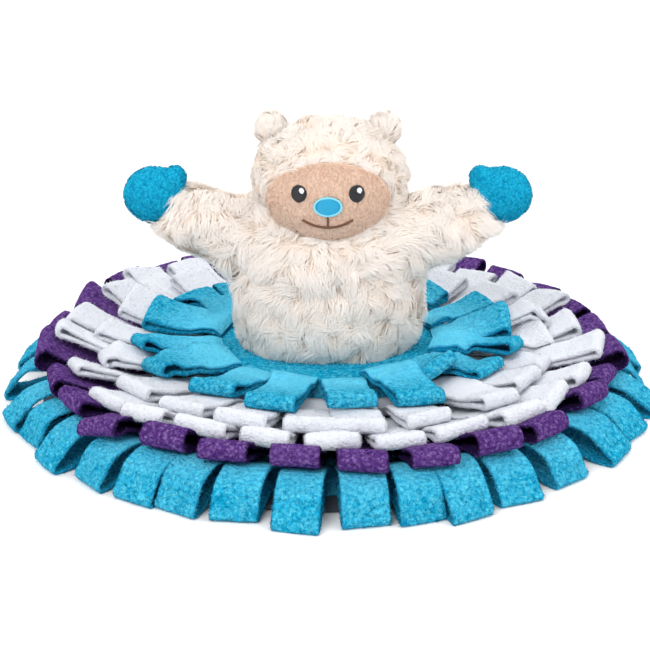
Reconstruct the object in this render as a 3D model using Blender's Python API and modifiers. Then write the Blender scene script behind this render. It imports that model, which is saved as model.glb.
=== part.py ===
"""A round snuffle mat: five rings of folded fleece loops sewn on a low domed felt pad,
with a furry plush figure on a fleece disc at the centre.

Metres, +Z up. The mat lies on z = 0, and the middle of its base is the origin.
The front of the figure looks along -Y.
"""

import math
import random
from collections import namedtuple

import bmesh
import bpy
import numpy as np
from mathutils import Matrix, Vector, noise

MM = 0.001
LOOP_SEED = 11

# Cloth
CLOTH = 2.1 * MM
LOOP_WIDTH = 24 * MM
SEAT_GAP = 0.35 * MM       # between a sewn piece and what it is sewn to
LAYER_GAP = 0.7 * MM      # between a ring of loops and what it lies on

# The domed base: a thin rim, a slope that the rings are sewn on, and a flat top
BASE_RADIUS = 179 * MM
BASE_RIM = 3.0 * MM
BASE_CROWN = 29 * MM
PLATEAU_RADIUS = 69 * MM
SLOPE_POWER = 2.0
BASE_STATIONS = 8
ROUND_STEPS = 48
STRIP_STEPS = 40

# The outer ring: an uncut band, and single loops that start on it
OUTER_LOOPS = 34
OUTER_TIP = 200 * MM
BAND_INNER = 128 * MM
BAND_OUTER = 165 * MM
OUTER_ROOT = 138 * MM
OUTER_TIP_HEIGHT = 10 * MM
LAYER_END_GAP = 0.5 * MM   # between the band's edge and a loop's lower layer
RIM_CLEAR = 1.5 * MM
Crest = namedtuple("Crest", "radius height")
OUTER_CREST = (
    Crest(159 * MM, 16.5 * MM),
    Crest(174 * MM, 21.5 * MM),
    Crest(187 * MM, 18.5 * MM),
)

# The inner rings, from the outside in. seam is where a ring is sewn down, lift is how far
# its tips stand off what is below, and opening is the hollow of a loop at its tip.
Ring = namedtuple("Ring", "name loops seam tip lift opening phase material")
RINGS = (
    Ring("ring_purple", 28, 111 * MM, 182 * MM, 3.5 * MM, 5.5 * MM, 4.0, "purple_fleece"),
    Ring("ring_white_outer", 26, 103 * MM, 166.5 * MM, 0.5 * MM, 5.0 * MM, 9.0, "white_fleece"),
    Ring("ring_white_inner", 21, 84 * MM, 142 * MM, 5.0 * MM, 5.0 * MM, 2.0, "white_fleece"),
    Ring("ring_blue_inner", 16, 72 * MM, 119 * MM, 4.0 * MM, 5.0 * MM, 7.0, "blue_fleece"),
)
ROOT_OPENING = 0.6 * MM
OPENING_POWER = 2.6
LIFT_POWER = 3.0
CLEAR_SAMPLES = 13         # where each straight run is tested against what is below
SEAM_INNER = 3.5 * MM      # a sewn root strip runs from this far inside the seam
SEAM_OUTER = 4.0 * MM      # to this far outside it
ROOT_COVER = 0.5 * MM      # the root strip's thickness over the loops' ends
LAYER_STATIONS = (0.03, 0.40, 0.74, 0.95)
TIP_ANGLES = (62, 0, -62)

# Unevenness of the loops
YAW = math.radians(3.2)
ROLL = math.radians(7)
SHORTER = 5.5 * MM
FREE_END = 3 * MM          # a loop may roll from this far past the tips that lie on it
AXIS_LOOP_ANGLE = 16.5     # loops this near an axis stay straight and full length, in degrees

# Centre
DISC_RADIUS = 66 * MM
DISC_CLOTH = 3.0 * MM

# The plush figure
BODY_VOXEL = 12 * MM
FUR_LUMP = 3.5 * MM
FUR_CELL = 17 * MM
POCKET_GAP = 0.35 * MM
Ball = namedtuple("Ball", "x y z rx ry rz")
BODY_BALLS = (
    Ball(0, 0, 56 * MM, 62 * MM, 48 * MM, 42 * MM),
    Ball(0, 0, 87 * MM, 59 * MM, 45 * MM, 42 * MM),
    Ball(0, 0, 138 * MM, 50 * MM, 42 * MM, 40 * MM),
    Ball(0, 4 * MM, 113 * MM, 52 * MM, 36 * MM, 32 * MM),
)
SHOULDER = Vector((40 * MM, 1 * MM, 95 * MM))
WRIST = Vector((93 * MM, -1 * MM, 117 * MM))
SHOULDER_RADIUS = 29 * MM
WRIST_RADIUS = 20 * MM
ARM_BALLS = 6
PAW = Ball(105 * MM, -2 * MM, 128 * MM, 20 * MM, 15 * MM, 18 * MM)
EAR = Ball(34 * MM, 2 * MM, 168 * MM, 12 * MM, 7 * MM, 12 * MM)
HEAD = BODY_BALLS[2]
FACE_PROUD = 2.4 * MM
FACE_SHEET = 3.0 * MM
FACE_HEIGHT = 133 * MM
FACE_RX = 37 * MM
FACE_RZ = 24 * MM


def base_top(radius):
    """Height of the felt base at a radius."""
    rise = (BASE_RADIUS - radius) / (BASE_RADIUS - PLATEAU_RADIUS)
    rise = min(max(rise, 0.0), 1.0)
    return BASE_RIM + (BASE_CROWN - BASE_RIM) * rise**SLOPE_POWER


def outer_top(radius):
    """Height of the outer ring's upper surface at a radius, or of the base inside it."""
    if radius < BAND_INNER - SEAT_GAP:
        return base_top(radius)
    band = base_top(radius) + SEAT_GAP + CLOTH
    if radius < OUTER_ROOT - SEAT_GAP:
        return band
    radii = [OUTER_ROOT] + [c.radius for c in OUTER_CREST]
    heights = [band + SEAT_GAP + CLOTH / 2] + [c.height for c in OUTER_CREST]
    return max(band, float(np.interp(radius, radii, heights)) + CLOTH / 2)


def lay_ring(ring, below):
    """Works out the side view of one inner ring, lying on what below says is under it.

    Returns the radii, undersides and openings of its stations, from seam to tip, and the
    height of everything up to and with this ring, as a function of the radius."""
    length = ring.tip - ring.seam
    radii = [ring.seam + share * length for share in LAYER_STATIONS]
    shares = np.array(LAYER_STATIONS)
    low = np.array([below(radius) for radius in radii])
    low += LAYER_GAP + ring.lift * shares**LIFT_POWER
    low[0] = max(low[0], below(ring.seam + SEAM_OUTER) + LAYER_GAP)
    gaps = ROOT_OPENING + (ring.opening - ROOT_OPENING) * shares**OPENING_POWER
    for step in range(len(radii) - 1):
        between = np.linspace(radii[step], radii[step + 1], CLEAR_SAMPLES)
        chord = np.interp(between, radii, low)
        needed = np.array([below(radius) + LAYER_GAP for radius in between])
        low[step:step + 2] += max(0.0, float((needed - chord).max()))
    root_top = low[0] + gaps[0] + 2 * CLOTH + ROOT_COVER

    def top(radius):
        if radius < ring.seam - SEAM_INNER - SEAT_GAP:
            return below(radius)
        high = float(np.interp(radius, radii, low + gaps)) + 2 * CLOTH
        return max(high, root_top) if radius < ring.seam + SEAM_OUTER + SEAT_GAP else high

    return radii, low, gaps, root_top, top


def new_collection(name):
    collection = bpy.data.collections.new(name)
    bpy.context.scene.collection.children.link(collection)
    return collection


def fleece_material(name, colour, roughness=0.95):
    material = bpy.data.materials.new(name)
    material.use_nodes = True
    shader = material.node_tree.nodes["Principled BSDF"]
    shader.inputs["Base Color"].default_value = (*colour, 1.0)
    shader.inputs["Roughness"].default_value = roughness
    shader.inputs["Metallic"].default_value = 0.0
    return material


def add_object(name, mesh, collection, material=None):
    thing = bpy.data.objects.new(name, mesh)
    collection.objects.link(thing)
    if material is not None:
        mesh.materials.clear()
        mesh.materials.append(material)
    return thing


def mesh_from(bm, name):
    mesh = bpy.data.meshes.new(name)
    bmesh.ops.recalc_face_normals(bm, faces=bm.faces)
    bm.to_mesh(mesh)
    bm.free()
    return mesh


def apply_modifiers(thing):
    """Freezes an object's modifiers into its mesh."""
    evaluated = thing.evaluated_get(bpy.context.evaluated_depsgraph_get())
    mesh = bpy.data.meshes.new_from_object(evaluated)
    thing.modifiers.clear()
    old = thing.data
    thing.data = mesh
    bpy.data.meshes.remove(old)
    return thing


def boolean(thing, other, operation):
    """Cuts or joins thing with other, which becomes a hidden cutter."""
    modifier = thing.modifiers.new(operation.lower(), "BOOLEAN")
    modifier.operation = operation
    modifier.solver = "EXACT"
    modifier.object = other
    modifier.use_self = operation == "UNION"
    other.hide_render = True
    other.display_type = "WIRE"
    return modifier


def turned(name, profile, collection, material=None, steps=ROUND_STEPS):
    """A solid of revolution. The profile runs down the outer side, top to bottom."""
    bm = bmesh.new()
    points = [bm.verts.new((radius, 0, height)) for radius, height in profile]
    for first, second in zip(points, points[1:]):
        bm.edges.new((first, second))
    if profile[0][0] > 0:
        bm.edges.new((points[-1], points[0]))
    mesh = bpy.data.meshes.new(name)
    bm.to_mesh(mesh)
    bm.free()
    thing = add_object(name, mesh, collection, material)
    screw = thing.modifiers.new("turn", "SCREW")
    screw.steps = steps
    screw.render_steps = steps
    screw.use_merge_vertices = True
    screw.merge_threshold = 0.00001
    screw.use_smooth_shade = False
    return thing


def build_base(collection, material):
    slope = np.linspace(PLATEAU_RADIUS, BASE_RADIUS, BASE_STATIONS)
    profile = [(0.0, BASE_CROWN)]
    profile += [(radius, base_top(radius)) for radius in slope]
    profile += [(BASE_RADIUS, 0.0), (0.0, 0.0)]
    return turned("base_pad", profile, collection, material)


def build_disc(collection, material):
    """The fleece disc on the flat top, with a slightly rounded edge."""
    low = BASE_CROWN + SEAT_GAP
    high = low + DISC_CLOTH
    edge = DISC_CLOTH / 4
    profile = [(0.0, high), (DISC_RADIUS - edge, high), (DISC_RADIUS, high - edge)]
    profile += [(DISC_RADIUS, low), (0.0, low)]
    return turned("centre_disc", profile, collection, material)


def build_band(collection, material):
    """The uncut part of the outer strip, which lies on the base."""
    radii = np.linspace(BAND_INNER, BAND_OUTER, 3)
    lower = [(radius, base_top(radius) + SEAT_GAP) for radius in radii]
    upper = [(radius, height + CLOTH) for radius, height in lower]
    return turned("outer_band", upper + lower[::-1], collection, material)


def strip(path, width, place):
    """One loop as an open ribbon: its side view extruded across, then set in place.

    path holds (radius, height) points, and place turns a local point into a world one."""
    bm = bmesh.new()
    points = [bm.verts.new((radius, -width / 2, height)) for radius, height in path]
    edges = [bm.edges.new(pair) for pair in zip(points, points[1:])]
    made = bmesh.ops.extrude_edge_only(bm, edges=edges)["geom"]
    across = [v for v in made if isinstance(v, bmesh.types.BMVert)]
    bmesh.ops.translate(bm, verts=across, vec=(0, width, 0))
    for v in bm.verts:
        v.co = place(v.co)
    return bm


def thicken(thing):
    solidify = thing.modifiers.new("cloth", "SOLIDIFY")
    solidify.thickness = CLOTH
    solidify.offset = 0.0
    solidify.use_even_offset = True
    return apply_modifiers(thing)


def placed(azimuth, seam, free_from, tip, yaw=0.0, roll=0.0, tip_height=0.0):
    """Returns the function that sets a loop round the mat: it turns at its seam by yaw,
    and its free end, beyond what lies on it, rolls about its own length and is raised so
    that its lower edge stays where it was."""
    swing = Matrix.Translation((seam, 0, 0)) @ Matrix.Rotation(yaw, 4, "Z")
    swing = Matrix.Rotation(azimuth, 4, "Z") @ swing @ Matrix.Translation((-seam, 0, 0))

    def place(point):
        share = min(max((point.x - free_from) / (tip - free_from), 0.0), 1.0)
        raised = tip_height + abs(math.sin(roll * share)) * LOOP_WIDTH / 2
        turn = Matrix.Translation((0, 0, raised)) @ Matrix.Rotation(roll * share, 4, "X")
        return swing @ (turn @ Matrix.Translation((0, 0, -tip_height)) @ point)

    return place


def round_tip(radius, height, curl):
    """The fold at a loop's end, from its upper layer to its lower one."""
    centre = radius - curl
    return [
        (centre + curl * math.cos(math.radians(angle)), height + curl * math.sin(math.radians(angle)))
        for angle in TIP_ANGLES
    ]


def ring_path(ring, tip, radii, low, gaps):
    """Side view of one loop of an inner ring: upper layer out, tip, lower layer back."""
    curl = (gaps[-1] + CLOTH) / 2
    middle = low[-1] + CLOTH + gaps[-1] / 2
    lower = [(radius, under + CLOTH / 2) for radius, under in zip(radii[:-1], low)]
    upper = [(radius, side + CLOTH + gap) for (radius, side), gap in zip(lower, gaps)]
    return upper + round_tip(tip, middle, curl) + lower[::-1]


def build_ring(level, below, collection, cutters, material):
    """A sewn root strip with its loops fused into it at their ends. Returns its top."""
    ring = RINGS[level]
    radii, low, gaps, root_top, top = lay_ring(ring, below)
    inner = ring.seam - SEAM_INNER
    outer = ring.seam + SEAM_OUTER
    profile = [(inner, root_top), (outer, root_top)]
    profile += [(outer, base_top(outer) + SEAT_GAP), (inner, base_top(inner) + SEAT_GAP)]
    root = turned(ring.name, profile, collection, material, STRIP_STEPS)
    draw = random.Random(LOOP_SEED + level)
    next_tip = RINGS[level + 1].tip if level + 1 < len(RINGS) else DISC_RADIUS
    free_from = next_tip + FREE_END
    loops = bmesh.new()
    for number in range(ring.loops):
        azimuth = math.radians(ring.phase) + math.tau * number / ring.loops
        path = ring_path(ring, ring.tip - draw.random() * SHORTER, radii, low, gaps)
        yaw = draw.uniform(-YAW, YAW)
        roll = draw.uniform(-ROLL, ROLL)
        place = placed(azimuth, ring.seam, free_from, ring.tip, yaw, roll, low[-1] + CLOTH)
        one = mesh_from(strip(path, LOOP_WIDTH, place), "loop")
        loops.from_mesh(one)
        bpy.data.meshes.remove(one)
    loops_mesh = mesh_from(loops, ring.name + "_loops")
    fused = thicken(add_object(ring.name + "_loops", loops_mesh, cutters))
    boolean(root, fused, "UNION")
    return top


def outer_path(tip):
    """Side view of an outer loop: up from the band, over, and back along base and floor."""
    curl = (OUTER_TIP_HEIGHT - CLOTH) / 2
    shift = tip - OUTER_TIP
    root = base_top(OUTER_ROOT) + 2 * SEAT_GAP + 1.5 * CLOTH
    upper = [(OUTER_ROOT, root)]
    for crest in OUTER_CREST:
        upper.append((crest.radius + shift * (crest.radius > BASE_RADIUS), crest.height))
    rim = BASE_RADIUS + RIM_CLEAR
    on_rim = BASE_RIM + SEAT_GAP + CLOTH / 2
    drop = 2.5 * CLOTH
    edge = BAND_OUTER + LAYER_END_GAP
    lower = [(rim + drop, CLOTH / 2), (rim, on_rim), (edge, base_top(edge) + SEAT_GAP + CLOTH / 2)]
    return upper + round_tip(tip, OUTER_TIP_HEIGHT / 2, curl) + lower


def build_outer_loops(collection, material):
    draw = random.Random(LOOP_SEED)
    for number in range(OUTER_LOOPS):
        degrees = 360 * number / OUTER_LOOPS - 90
        off_axis = abs((degrees + 45) % 90 - 45)
        shorter = draw.random() * SHORTER
        yaw = draw.uniform(-YAW, YAW)
        if off_axis < AXIS_LOOP_ANGLE:
            shorter = 0.0
            yaw = 0.0
        path = outer_path(OUTER_TIP - shorter)
        place = placed(math.radians(degrees), OUTER_ROOT, BASE_RADIUS, OUTER_TIP, yaw)
        name = f"outer_loop_{number + 1:02d}"
        thing = add_object(name, mesh_from(strip(path, LOOP_WIDTH, place), name), collection, material)
        thicken(thing)


def ball_mesh(ball, grow=0.0, segments=16, rings=10, mirror=1):
    """An ellipsoid as a mesh, grown all round by a given amount."""
    bm = bmesh.new()
    bmesh.ops.create_uvsphere(bm, u_segments=segments, v_segments=rings, radius=1.0)
    radii = (ball.rx + grow, ball.ry + grow, ball.rz + grow)
    bmesh.ops.scale(bm, verts=bm.verts, vec=radii)
    bmesh.ops.translate(bm, verts=bm.verts, vec=(ball.x * mirror, ball.y, ball.z))
    return mesh_from(bm, "ball")


def arm_balls(side):
    """Balls that run from the shoulder to the wrist, tapering."""
    for step in range(ARM_BALLS):
        share = step / (ARM_BALLS - 1)
        centre = SHOULDER.lerp(WRIST, share)
        radius = SHOULDER_RADIUS + (WRIST_RADIUS - SHOULDER_RADIUS) * share
        yield Ball(centre.x * side, centre.y, centre.z, radius, radius, radius)


def build_body(collection, cutters, material):
    """Body, head and arms as one filled fur form with lumps the size of its locks."""
    bm = bmesh.new()
    for ball in BODY_BALLS + tuple(arm_balls(1)) + tuple(arm_balls(-1)):
        one = ball_mesh(ball)
        bm.from_mesh(one)
        bpy.data.meshes.remove(one)
    body = add_object("plush_body", mesh_from(bm, "plush_body"), collection, material)
    remesh = body.modifiers.new("skin", "REMESH")
    remesh.mode = "VOXEL"
    remesh.voxel_size = BODY_VOXEL
    smooth = body.modifiers.new("soften", "SMOOTH")
    smooth.iterations = 1
    apply_modifiers(body)
    bm = bmesh.new()
    bm.from_mesh(body.data)
    bmesh.ops.recalc_face_normals(bm, faces=bm.faces)
    bm.normal_update()
    for v in bm.verts:
        v.co += v.normal * FUR_LUMP * noise.noise(v.co / FUR_CELL)
    bm.to_mesh(body.data)
    bm.free()
    seat = BASE_CROWN + SEAT_GAP + DISC_CLOTH + SEAT_GAP
    bm = bmesh.new()
    bmesh.ops.create_cube(bm, size=1.0)
    bmesh.ops.scale(bm, verts=bm.verts, vec=(4 * DISC_RADIUS, 4 * DISC_RADIUS, seat))
    bmesh.ops.translate(bm, verts=bm.verts, vec=(0, 0, seat / 2))
    floor = add_object("seat_cutter", mesh_from(bm, "seat_cutter"), cutters)
    boolean(body, floor, "DIFFERENCE")
    return body


def build_face(name, collection, cutters, material=None, grow=0.0):
    """The oval face patch: a curved sheet let into the front of the head, between two
    head-shaped surfaces."""
    bm = bmesh.new()
    bmesh.ops.create_cone(bm, cap_ends=True, segments=28, radius1=1, radius2=1, depth=1)
    turn = Matrix.Rotation(math.radians(90), 4, "X")
    size = Matrix.Diagonal((FACE_RX + grow, 2 * HEAD.ry, FACE_RZ + grow, 1))
    place = Matrix.Translation((0, -HEAD.ry, FACE_HEIGHT))
    bmesh.ops.transform(bm, matrix=place @ size @ turn, verts=bm.verts)
    face = add_object(name, mesh_from(bm, name), collection, material)
    front = add_object(name + "_front", ball_mesh(HEAD, FACE_PROUD + grow), cutters)
    back = add_object(name + "_back", ball_mesh(HEAD, FACE_PROUD - FACE_SHEET - grow), cutters)
    boolean(face, front, "INTERSECT")
    boolean(face, back, "DIFFERENCE")
    return apply_modifiers(face)


def build_small(ball, name, side, collection, cutters, material):
    """A paw or an ear, and the slightly larger shape that cuts its pocket in the fur."""
    add_object(name, ball_mesh(ball, mirror=side), collection, material)
    return add_object(name + "_pocket", ball_mesh(ball, POCKET_GAP, mirror=side), cutters)


def main():
    for thing in list(bpy.data.objects):
        bpy.data.objects.remove(thing)
    mat = new_collection("snuffle_mat")
    cutters = new_collection("cutters")
    felt = fleece_material("grey_felt", (0.09, 0.11, 0.14))
    blue = fleece_material("blue_fleece", (0.05, 0.47, 0.75))
    purple = fleece_material("purple_fleece", (0.10, 0.03, 0.22))
    white = fleece_material("white_fleece", (0.78, 0.80, 0.85))
    fur = fleece_material("cream_fur", (0.86, 0.76, 0.66))
    tan = fleece_material("tan_plush", (0.52, 0.34, 0.22))
    mitt = fleece_material("blue_plush", (0.02, 0.40, 0.72))
    cloths = {"purple_fleece": purple, "white_fleece": white, "blue_fleece": blue}

    build_base(mat, felt)
    build_disc(mat, blue)
    build_band(mat, blue)
    build_outer_loops(mat, blue)
    top = outer_top
    for level, ring in enumerate(RINGS):
        top = build_ring(level, top, mat, cutters, cloths[ring.material])

    body = build_body(mat, cutters, fur)
    build_face("face_patch", mat, cutters, tan)
    pockets = [apply_modifiers(build_face("face_pocket", cutters, cutters, grow=POCKET_GAP))]
    for side, name in ((-1, "left"), (1, "right")):
        pockets.append(build_small(PAW, "paw_" + name, side, mat, cutters, mitt))
        pockets.append(build_small(EAR, "ear_" + name, side, mat, cutters, fur))
    bm = bmesh.new()
    for pocket in pockets:
        bm.from_mesh(pocket.data)
        bpy.data.objects.remove(pocket)
    boolean(body, add_object("pockets", mesh_from(bm, "pockets"), cutters), "DIFFERENCE")


main()
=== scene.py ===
import itertools
import math
import random

import bpy
import numpy as np
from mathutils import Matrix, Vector
from mathutils.kdtree import KDTree


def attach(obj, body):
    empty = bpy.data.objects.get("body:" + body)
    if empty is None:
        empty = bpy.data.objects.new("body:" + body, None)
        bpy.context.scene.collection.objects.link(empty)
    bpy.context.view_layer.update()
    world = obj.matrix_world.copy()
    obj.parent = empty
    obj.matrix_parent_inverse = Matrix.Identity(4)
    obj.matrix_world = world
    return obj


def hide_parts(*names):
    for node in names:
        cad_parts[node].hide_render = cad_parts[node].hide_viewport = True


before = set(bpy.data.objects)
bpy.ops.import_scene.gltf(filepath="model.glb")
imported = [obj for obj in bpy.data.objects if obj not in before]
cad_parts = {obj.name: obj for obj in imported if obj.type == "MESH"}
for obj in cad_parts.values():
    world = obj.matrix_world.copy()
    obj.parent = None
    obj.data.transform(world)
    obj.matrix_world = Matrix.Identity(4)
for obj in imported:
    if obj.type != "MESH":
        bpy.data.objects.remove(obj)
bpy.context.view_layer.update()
mm = 0.001


class Signal:
    # a socket that takes part in Python arithmetic; every operator adds one Math node
    def __init__(self, finish, socket):
        self.finish = finish
        self.socket = socket

    def maths(self, operation, a, b, clamp=False):
        settings = {"operation": operation, "use_clamp": clamp}
        return self.finish.node("ShaderNodeMath", settings, {0: a, 1: b})

    def __add__(self, other):
        return self.maths("ADD", self, other)

    def __radd__(self, other):
        return self.maths("ADD", other, self)

    def __sub__(self, other):
        return self.maths("SUBTRACT", self, other)

    def __rsub__(self, other):
        return self.maths("SUBTRACT", other, self)

    def __mul__(self, other):
        return self.maths("MULTIPLY", self, other)

    def __rmul__(self, other):
        return self.maths("MULTIPLY", other, self)

    def clipped(self):
        return self.maths("ADD", self, 0.0, clamp=True)


class Finish:
    # one material: its slot, its shader, and the nodes that feed it
    def __init__(self, name, slot, constants):
        self.slot = slot
        self.material = bpy.data.materials.new(name)
        self.material.use_nodes = True
        self.tree = self.material.node_tree
        self.shader = self.tree.nodes["Principled BSDF"]
        for label, value in constants.items():
            self.feed(self.shader.inputs[label], value)
        self.place = self.node("ShaderNodeTexCoord", {}, {}, "Object")

    def feed(self, socket, value):
        if isinstance(value, Signal):
            self.tree.links.new(value.socket, socket)
        else:
            socket.default_value = value

    def node(self, kind, settings, values, output=0):
        made = self.tree.nodes.new(kind)
        for label, value in settings.items():
            setattr(made, label, value)
        for label, value in values.items():
            self.feed(made.inputs[label], value)
        return Signal(self, made.outputs[output])

    def attribute(self, label):
        return self.node("ShaderNodeAttribute", {"attribute_name": label}, {}, "Fac")

    def noise(self, size, detail=2.0, distortion=0.0):
        values = {"Vector": self.place, "Scale": 1 / size, "Detail": detail, "Distortion": distortion}
        return self.node("ShaderNodeTexNoise", {}, values)

    def cells(self, size, smooth):
        values = {"Vector": self.place, "Scale": 1 / size, "Smoothness": smooth}
        return self.node("ShaderNodeTexVoronoi", {"feature": "SMOOTH_F1"}, values)

    def mix(self, share, first, second):
        # a Mix node takes its two colours at sockets 6 and 7 and gives one at output 2
        first = first if isinstance(first, Signal) else (*first, 1.0)
        second = second if isinstance(second, Signal) else (*second, 1.0)
        return self.node("ShaderNodeMix", {"data_type": "RGBA"}, {0: share, 6: first, 7: second}, 2)

    def bump(self, height, depth, strength):
        values = {"Height": height, "Distance": depth, "Strength": strength}
        self.feed(self.shader.inputs["Normal"], self.node("ShaderNodeBump", {}, values))

    def colour(self, value, through=None):
        # through: the share of light that a thin piece lets pass to its other side, and its colour
        self.feed(self.shader.inputs["Base Color"], value)
        if through:
            share, glow = through
            passed = self.node("ShaderNodeBsdfTranslucent", {}, {"Color": (*glow, 1.0)})
            surface = Signal(self, self.shader.outputs[0])
            both = self.node("ShaderNodeMixShader", {}, {0: share, 1: surface, 2: passed})
            self.feed(self.tree.nodes["Material Output"].inputs["Surface"], both)


def scatter(cells, seed):
    # a repeatable number from 0 to 1 for whole-number cells
    n = cells[..., 0] * 73856093 ^ cells[..., 1] * 19349663 ^ cells[..., 2] * 83492791
    n = n ^ (seed * 6364136)
    n = (n ^ (n >> 13)) * 1274126177
    n = (n ^ (n >> 16)) * 668265263
    return ((n >> 7) & 0xFFFF) / 65535.0


def softNoise(points, size, seed):
    # smooth noise from -1 to 1
    scaled = points / size
    low = np.floor(scaled).astype(np.int64)
    part = scaled - low
    part = part * part * (3 - 2 * part)
    total = np.zeros(len(points))
    for corner in itertools.product((0, 1), repeat=3):
        weight = np.prod(np.where(np.array(corner) == 1, part, 1 - part), axis=-1)
        total += weight * scatter(low + np.array(corner), seed)
    return total * 2 - 1


def curls(points, size, seed):
    # the rounded curls of a pressed nap: 1 at the middle of each, near 0 between them
    scaled = points / size
    low = np.floor(scaled).astype(np.int64)
    best = np.full(len(points), 9.0)
    for offset in itertools.product((-1, 0, 1), repeat=3):
        cell = low + np.array(offset)
        middle = cell + 0.15 + 0.7 * np.stack([scatter(cell, seed + k) for k in range(3)], -1)
        best = np.minimum(best, ((scaled - middle) ** 2).sum(-1))
    return 1 - np.sqrt(best)


def addMesh(name, points, faces, finish, tones=None, normals=None):
    # tones are values at the points, which the finishes read by name
    mesh = bpy.data.meshes.new(name)
    mesh.from_pydata(points, [], faces)
    for label, values in (tones or {}).items():
        layer = mesh.attributes.new(label, "FLOAT", "POINT")
        layer.data.foreach_set("value", np.asarray(values, dtype=np.float32))
    mesh.shade_smooth()
    if normals is not None:
        mesh.normals_split_custom_set_from_vertices(normals)
    mesh.materials.append(finish.material)
    piece = bpy.data.objects.new(name, mesh)
    bpy.context.scene.collection.objects.link(piece)
    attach(piece, "root")
    return piece


def gridFaces(rows, columns, closed=False):
    # quads between rings of points, each ring a row; closed joins the last ring to the first
    r, c = np.meshgrid(np.arange(rows if closed else rows - 1), np.arange(columns), indexing="ij")
    r1 = (r + 1) % rows
    c1 = (c + 1) % columns
    quads = np.stack([r * columns + c, r * columns + c1, r1 * columns + c1, r1 * columns + c], -1)
    return quads.reshape(-1, 4).tolist()


def solidFaces(rows, columns):
    # the same quads facing the other way, with both end rings closed
    last = (rows - 1) * columns
    ends = [list(range(columns)), list(range(last, last + columns))[::-1]]
    return [face[::-1] for face in gridFaces(rows, columns)] + ends


def pointsAt(x, y, z):
    # points from their three measures, spread over one grid
    return np.stack(np.broadcast_arrays(x, y, z), -1)


def ringPoints(radii, turn, heights):
    # points on circles round the upright axis, one row for each radius
    return pointsAt(radii * np.cos(turn), radii * np.sin(turn), heights)


def turns(spokes):
    # evenly spread directions, all the way round
    return np.linspace(0, math.tau, spokes, endpoint=False)[None, :]


class Batch:
    # several shapes gathered into one mesh
    def __init__(self):
        self.points = []
        self.faces = []
        self.tones = {}
        self.count = 0

    def add(self, points, faces, **tones):
        self.points.append(points)
        self.faces += [[n + self.count for n in face] for face in faces]
        for label, values in tones.items():
            values = np.broadcast_to(values, (len(points),))
            self.tones.setdefault(label, []).append(values)
        self.count += len(points)

    def build(self, name, finish):
        tones = {label: np.concatenate(values) for label, values in self.tones.items()}
        return addMesh(name, np.concatenate(self.points), self.faces, finish, tones)


view = {
    "elevation": 22.7, "distance": 1.2, "lens": 104.6, "sensor": 36, "picture": 650,
    "middle": (327.9, 387.6),   # where the middle of the mat's underside falls, in pixels
}


def makeView():
    data = bpy.data.cameras.new("camera")
    camera = bpy.data.objects.new("camera", data)
    bpy.context.scene.collection.objects.link(camera)
    tilt = math.radians(view["elevation"])
    camera.location = (0, -view["distance"] * math.cos(tilt), view["distance"] * math.sin(tilt))
    camera.rotation_euler = (math.pi / 2 - tilt, 0, 0)
    data.lens = view["lens"]
    data.sensor_width = view["sensor"]
    data.shift_x = (view["picture"] / 2 - view["middle"][0]) / view["picture"]
    data.shift_y = (view["middle"][1] - view["picture"] / 2) / view["picture"]
    data.clip_end = 30
    bpy.context.scene.camera = camera


lights = {
    "key": {"at": (-0.9, -1.5, 1.9), "size": 1.3, "power": 29},
    "fill": {"at": (1.5, -1.0, 1.2), "size": 1.6, "power": 10.5},
    "back": {"at": (0.3, 1.4, 1.6), "size": 1.4, "power": 13},
}
studio = {"aim": (0, 0, 0.06), "world": 1.0, "floor": (0.93, 0.93, 0.93, 1), "half": 12}


def makeLight():
    for name, facts in lights.items():
        data = bpy.data.lights.new(name, "AREA")
        data.shape = "DISK"
        data.size = facts["size"]
        data.energy = facts["power"]
        lamp = bpy.data.objects.new(name, data)
        bpy.context.scene.collection.objects.link(lamp)
        lamp.location = facts["at"]
        towards = Vector(studio["aim"]) - lamp.location
        lamp.rotation_euler = towards.to_track_quat("-Z", "Y").to_euler()
    world = bpy.data.worlds.new("studio")
    world.use_nodes = True
    background = world.node_tree.nodes["Background"]
    background.inputs["Color"].default_value = (1, 1, 1, 1)
    background.inputs["Strength"].default_value = studio["world"]
    bpy.context.scene.world = world
    bpy.context.scene.view_settings.view_transform = "Standard"


def makeFloor():
    paint = Finish("floor_paint", None, {"Base Color": studio["floor"], "Roughness": 0.9})
    half = studio["half"]
    corners = [(-half, -half, 0), (half, -half, 0), (half, half, 0), (-half, half, 0)]
    mesh = bpy.data.meshes.new("floor")
    mesh.from_pydata(corners, [], [(0, 1, 2, 3)])
    mesh.materials.append(paint.material)
    floor = bpy.data.objects.new("floor", mesh)
    bpy.context.scene.collection.objects.link(floor)


makeView()
makeLight()
makeFloor()
print("camera, light and floor made")


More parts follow.
